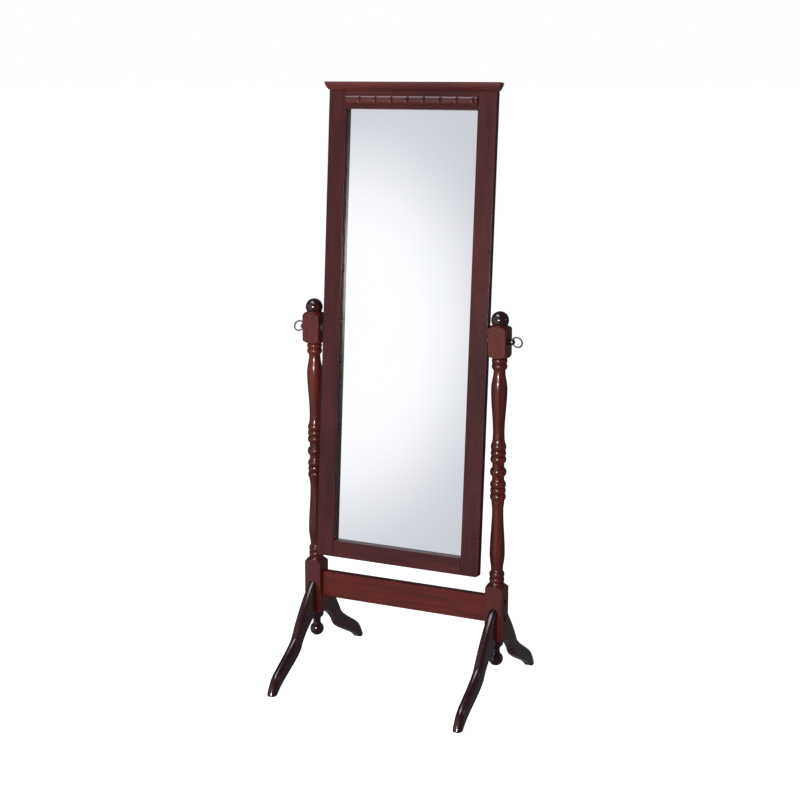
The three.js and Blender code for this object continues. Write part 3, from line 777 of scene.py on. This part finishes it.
def crown_profile():
    """(overhang, height) points up the crown's side: step, swelling slope and rounded top edge."""
    height, overhang, fillet, foot = CROWN["height"], CROWN["overhang"], CROWN["fillet"], CROWN["foot"]
    slope = bezier(
        (foot, 1.2),
        (foot + 0.585 * (0.62 * overhang - foot), 0.18 * height),
        (0.80 * overhang, 0.42 * height),
        (overhang, height - fillet),
        steps=14,
    )
    edge = 0.9
    top = arc(overhang - edge, height - edge, edge, 0, 90, 4)
    return [(0.6, 0), (foot, 0.4), *slope, *top]


def crown_mesh():
    """The crown moulding, mitred round the front corners and flush at the back."""
    base = FRAME_TOP + GAP
    rows = []
    for out, up in crown_profile():
        x, y, z = FRAME_HALF + out, FRONT - out, base + up
        rows.append([(-x, BACK, z), (-x, y, z), (x, y, z), (x, BACK, z)])
    points = [p for row in rows for p in row]
    faces = []
    for a in range(len(rows) - 1):
        for i in range(4):
            j = (i + 1) % 4
            faces.append([4 * a + i, 4 * a + j, 4 * a + 4 + j, 4 * a + 4 + i])
    last = 4 * (len(rows) - 1)
    faces += [[0, 1, 2, 3], [last, last + 1, last + 2, last + 3]]
    return new_bmesh(points, faces)


def beading_mesh():
    """The half-round beading, cut into short lengths by V notches."""
    proud, height, notch = BEADING["proud"], BEADING["height"], BEADING["notch"]
    end = OPENING_HALF - GAP
    centres = []
    x = BEADING["first"] - end
    while x < end - notch:
        centres.append(x)
        x += BEADING["pitch"]
    places = {-end, -end + 0.8, end - 0.8, end}
    for centre in centres:
        places.update(centre + notch * step / 8 for step in range(-9, 10))
    base = FRONT - GAP
    middle = BEADING["bottom"] + height / 2
    steps = 36
    rings = []
    for x in sorted(places):
        depth = proud
        for centre in centres:
            away = abs(x - centre) / notch
            if away < 1:
                depth = proud - BEADING["depth"] * (1 - away)
        if x in (-end, end):
            depth = min(depth, proud - 0.8)
        ring = []
        for i in range(steps + 1):
            angle = math.pi * i / steps
            out = min(proud * math.sin(angle), depth)
            ring.append((x, base - out, middle - height / 2 * math.cos(angle)))
        rings.append(ring)
    return tube(rings)


def screw_places():
    """Where the backing board's screws are, by name: four down each side, one at the top and bottom."""
    x = (OPENING_HALF + RABBET[0] + BACKING["half"]) / 2
    margin, inset = 40, 6
    low, high = BACKING["bottom"] + margin, BACKING["top"] - margin
    places = {}
    count = SCREW["per_side"]
    for i in range(count):
        for side, sign in SIDES.items():
            places[f"{side}_backing_screw_{i + 1}"] = (sign * x, low + (high - low) * i / (count - 1))
    places["top_backing_screw"] = (0, BACKING["top"] - inset)
    places["bottom_backing_screw"] = (0, BACKING["bottom"] + inset)
    return places


def screw_mesh(x, z):
    """A pan-head screw with a cross recess."""
    seat = BACK + 2 * GAP + BACKING["thick"]
    tip, edge = seat - SCREW["length"], seat + SCREW["edge"]
    profile = [(0, tip), (0.3, tip), (1.6, seat - 8.5), (1.6, seat)]
    profile += [(SCREW["head"], seat), (SCREW["head"], edge)]
    for angle in (0.4, 0.8, 1.1, 1.35):
        profile.append((SCREW["head"] * math.cos(angle), edge + SCREW["dome"] * math.sin(angle)))
    profile.append((0, edge + SCREW["dome"]))
    head = turned(profile, 28, "y", (x, 0, z))
    arms = []
    for w, h in ((1.9, 0.4), (0.4, 1.9)):
        arms.append(prism(rectangle(x - w, z - h, x + w, z + h), seat + 0.9, seat + 3))
    return combine(head, "DIFFERENCE", arms)


def build_mirror():
    def piece(name, bm, material, slot):
        return add_piece(name, bm, material, "mirror", TO_FRAME)

    for side, sign in SIDES.items():
        piece(f"{side}_stile", stile_mesh(sign), STILE_WOOD, "frame_wood")
    piece("top_rail", rail_mesh(OPENING_TOP, FRAME_TOP, -1), RAIL_WOOD, "frame_wood")
    piece("bottom_rail", rail_mesh(FRAME_BOTTOM, OPENING_BOTTOM, 1), RAIL_WOOD, "frame_wood")
    piece("crown_moulding", crown_mesh(), CROWN_WOOD, "crown_wood")
    piece("beading", beading_mesh(), CROWN_WOOD, "crown_wood")
    piece("backing_board", backing_mesh(), HARDBOARD, "hardboard")
    for name, place in screw_places().items():
        piece(name, screw_mesh(*place), ZINC, "zinc")
    glass = piece("mirror_glass", glass_mesh(), SILVER, "silvered_glass")
    glass.data.materials.append(GLASS_EDGE)
    front = (TO_FRAME.to_3x3() @ Vector((0, -1, 0))).normalized()
    for face in glass.data.polygons:
        face.material_index = 0 if face.normal.dot(front) > 0.9 else 1


# ---------------------------------------------------------------- hardware


def ring_knob_mesh(side):
    """The ring screw's head: hub, collar and fixed ring."""
    hub_x = BLOCK_FACE + RING["hub_out"]
    steps = 28
    angles = [math.pi * i / steps for i in range(steps + 1)]
    hub = [(RING["hub"] * math.sin(a), hub_x - RING["hub"] * math.cos(a)) for a in angles]
    hub[0], hub[-1] = (0, hub[0][1]), (0, hub[-1][1])
    start = BLOCK_FACE + 2.4
    collar = [(0, start), (4.9, start), (5.3, start + 0.5)]
    collar += [(5.3, hub_x - 6), (4.2, hub_x - 4.5), (0, hub_x - 4.5)]
    lean = Matrix.Rotation(math.radians(RING_LEAN[side]), 3, "X")
    middle = Vector((BLOCK_FACE + RING["ring_out"], 0, 0))
    rings = []
    for i in range(RING_STEPS["around"]):
        around = 2 * math.pi * i / RING_STEPS["around"]
        out = Vector((math.cos(around), 0, math.sin(around)))
        ring = []
        for k in range(RING_STEPS["wire"]):
            angle = 2 * math.pi * k / RING_STEPS["wire"]
            reach = RING["radius"] + RING["wire"] * math.cos(angle)
            spoke = out * reach + Vector((0, RING["wire"] * math.sin(angle), 0))
            ring.append(middle + lean @ spoke)
        rings.append(ring)
    ring_body = tube([*rings, rings[0]], closed_ends=False)
    bmesh.ops.remove_doubles(ring_body, verts=ring_body.verts, dist=1e-4)
    whole = combine(turned(hub, 40, "x"), "UNION", [turned(collar, 40, "x"), ring_body])
    whole.transform(Matrix.Rotation(0 if SIDES[side] > 0 else math.pi, 4, "Z"))
    whole.transform(Matrix.Translation((0, 0, PIVOT_Z)))
    return whole


def washer_mesh(x0, x1, radius, bore):
    """A washer about the pivot's axis, between two planes."""
    chamfer = 0.4
    profile = [(bore, x0), (radius - chamfer, x0), (radius, x0 + chamfer)]
    profile += [(radius, x1 - chamfer), (radius - chamfer, x1), (bore, x1), (bore, x0)]
    body = turned(profile, 48, "x", (0, 0, PIVOT_Z), closed_ends=False)
    bmesh.ops.remove_doubles(body, verts=body.verts, dist=1e-4)
    return body


def bolt_mesh(sign, height):
    """A socket-head bolt in its counterbore."""
    seat = BLOCK_FACE - COUNTERBORE["depth"] + GAP
    profile = [(0, seat), (6, seat), (6, seat + 3.6), (5.6, seat + 4)]
    profile += [(2.8, seat + 4), (2.8, seat + 1.5), (0, seat + 1.5)]
    return turned([(r, sign * x) for r, x in profile], 36, "x", (0, 0, height))


def nut_mesh(sign, height):
    """The end of a barrel nut, with its screwdriver slot."""
    end = STRETCHER_BOX[1][1] - NUT["inset"]
    radius, start = NUT["radius"], end - NUT["length"]
    profile = [(0, start), (radius, start), (radius, end - 0.5), (radius - 0.5, end), (0, end)]
    x = sign * NUT_X
    body = turned(profile, 32, "y", (x, 0, height))
    slot = rectangle(x - 6, height - 0.7, x + 6, height + 0.7)
    return combine(body, "DIFFERENCE", [prism(slot, end - 1.5, end + CUT_PAST)])


def build_hardware():
    def piece(name, bm, material, body, slot):
        add_piece(name, bm, material, body, TO_STAND)

    for side, sign in SIDES.items():
        piece(f"{side}_ring_knob", ring_knob_mesh(side), AGED_BRASS, f"{side}_ring_screw", "aged_brass")
        outer = sorted(sign * (BLOCK_FACE + GAP + x) for x in (0, WASHER["thick"]))
        washer = washer_mesh(*outer, WASHER["radius"], WASHER["bore"])
        piece(f"{side}_outer_washer", washer, DARK_STEEL, f"{side}_screw_washer", "dark_steel")
        inner = sorted((sign * (FRAME_HALF + GAP), sign * (POST_X - BLOCK_HALF - GAP)))
        spacer = washer_mesh(*inner, SPACER["radius"], SPACER["bore"])
        piece(f"{side}_spacer_washer", spacer, NYLON, "mirror", "nylon")
        for level, height in zip(("lower", "upper"), STRETCHER_BOLT_HEIGHTS):
            bolt = bolt_mesh(sign, height)
            piece(f"{side}_stretcher_bolt_{level}", bolt, BRONZED_STEEL, "stand", "dark_steel")
            piece(f"{side}_barrel_nut_{level}", nut_mesh(sign, height), ZINC, "stand", "zinc")


def finish_hidden_nodes():
    """Gives the CAD nodes that stay as they are their materials."""
    kinds = {"dowel": RAW_WOOD, "threaded_insert": ZINC, "pivot_bolt": DARK_STEEL}
    for name, node in frame["nodes"].items():
        for kind, material in kinds.items():
            if kind in name:
                node.data.materials.clear()
                node.data.materials.append(material)


# ---------------------------------------------------------------- studio


def area_light(name, centre, target, width, height, power, color):
    light = bpy.data.lights.new(name, "AREA")
    light.shape = "RECTANGLE"
    light.size, light.size_y = width, height
    light.energy = power
    light.color = color
    obj = bpy.data.objects.new(name, light)
    bpy.context.collection.objects.link(obj)
    obj.location = centre
    obj.rotation_mode = "QUATERNION"
    obj.rotation_quaternion = (Vector(target) - Vector(centre)).to_track_quat("-Z", "Y")
    return obj


def build_floor():
    """A pale, softly glowing floor, which keeps the shadows faint. It adds no gloss to the object."""
    mesh = bpy.data.meshes.new("floor")
    corners = rectangle(-FLOOR_HALF, -FLOOR_HALF, FLOOR_HALF, FLOOR_HALF)
    mesh.from_pydata([(x, y, 0) for x, y in corners], [], [(0, 1, 2, 3)])
    floor = bpy.data.objects.new("floor", mesh)
    bpy.context.collection.objects.link(floor)
    n = Nodes("pale_floor")
    cloud = n.noise(n.place((1, 1, 1)), 0.8, 3)
    n.drive("Base Color", n.mix((0.70, 0.70, 0.70), (0.73, 0.73, 0.73), cloud))
    n.shader.inputs["Emission Color"].default_value = (1, 1, 1, 1)
    n.shader.inputs["Emission Strength"].default_value = FLOOR_GLOW
    n.set(roughness=0.9, specular=0.0)
    mesh.materials.append(n.material)
    floor.visible_glossy = False


def lobe(tree, direction, spans, inner, outer):
    """A soft-edged bright patch of sky: 1 at its middle, 0 outside. Its spans are half-widths in degrees."""
    vector = tree.nodes.new("ShaderNodeTexCoord").outputs["Generated"]
    az, el = (math.radians(a) for a in direction)
    rotate = tree.nodes.new("ShaderNodeVectorRotate")
    rotate.rotation_type = "Z_AXIS"
    rotate.inputs["Angle"].default_value = az
    tree.links.new(vector, rotate.inputs["Vector"])
    place = tree.nodes.new("ShaderNodeMapping")
    across, up = (1 / math.sin(math.radians(a)) for a in spans)
    along = (across + up) / 2
    place.inputs["Scale"].default_value = (across, along, up)
    place.inputs["Location"].default_value = (0, along * math.cos(el), -up * math.sin(el))
    tree.links.new(rotate.outputs["Vector"], place.inputs["Vector"])
    length = tree.nodes.new("ShaderNodeVectorMath")
    length.operation = "LENGTH"
    tree.links.new(place.outputs["Vector"], length.inputs[0])
    edge = tree.nodes.new("ShaderNodeMapRange")
    edge.interpolation_type = "SMOOTHSTEP"
    edge.inputs["From Min"].default_value = inner
    edge.inputs["From Max"].default_value = outer
    edge.inputs["To Min"].default_value = 1
    edge.inputs["To Max"].default_value = 0
    tree.links.new(length.outputs["Value"], edge.inputs["Value"])
    return edge.outputs["Result"]


def build_world():
    """A dim room, lighter to the front left, with plain white behind the object."""
    world = bpy.data.worlds.new("studio")
    world.use_nodes = True
    tree = world.node_tree
    tree.nodes.clear()
    total = None
    for direction, spans, edges, color in WORLD_LOBES:
        tint = tree.nodes.new("ShaderNodeVectorMath")
        tint.operation = "SCALE"
        tint.inputs[0].default_value = color
        tree.links.new(lobe(tree, direction, spans, *edges), tint.inputs["Scale"])
        add = tree.nodes.new("ShaderNodeVectorMath")
        add.operation = "ADD"
        tree.links.new(tint.outputs["Vector"], add.inputs[0])
        if total:
            tree.links.new(total, add.inputs[1])
        else:
            add.inputs[1].default_value = WORLD_DIM
        total = add.outputs["Vector"]
    room = tree.nodes.new("ShaderNodeBackground")
    tree.links.new(total, room.inputs["Color"])
    backdrop = tree.nodes.new("ShaderNodeBackground")
    backdrop.inputs["Color"].default_value = (1, 1, 1, 1)
    choose = tree.nodes.new("ShaderNodeMixShader")
    tree.links.new(tree.nodes.new("ShaderNodeLightPath").outputs["Is Camera Ray"], choose.inputs["Fac"])
    tree.links.new(room.outputs["Background"], choose.inputs[1])
    tree.links.new(backdrop.outputs["Background"], choose.inputs[2])
    output = tree.nodes.new("ShaderNodeOutputWorld")
    tree.links.new(choose.outputs["Shader"], output.inputs["Surface"])
    bpy.context.scene.world = world


def build_lights():
    for name, centre, target, size, power, color in LIGHTS:
        area_light(name, centre, target, *size, power, color)


def build_camera():
    """The viewpoint of a person standing to the right of the mirror, with the lens slightly shifted."""
    data = bpy.data.cameras.new("camera")
    data.sensor_width = 36
    data.lens = CAMERA["lens"]
    data.shift_y = CAMERA["shift"]
    camera = bpy.data.objects.new("camera", data)
    bpy.context.collection.objects.link(camera)
    camera.location = CAMERA["place"]
    turn, pitch, roll = (math.radians(CAMERA[key]) for key in ("turn", "pitch", "roll"))
    look = Vector((-math.sin(turn) * math.cos(pitch), math.cos(turn) * math.cos(pitch), -math.sin(pitch)))
    camera.rotation_mode = "QUATERNION"
    camera.rotation_quaternion = look.to_track_quat("-Z", "Y") @ Matrix.Rotation(roll, 3, "Z").to_quaternion()
    bpy.context.scene.camera = camera


bpy.context.scene.view_settings.view_transform = "Standard"
build_stand()
build_mirror()
build_hardware()
finish_hidden_nodes()
build_floor()
build_world()
build_lights()
build_camera()
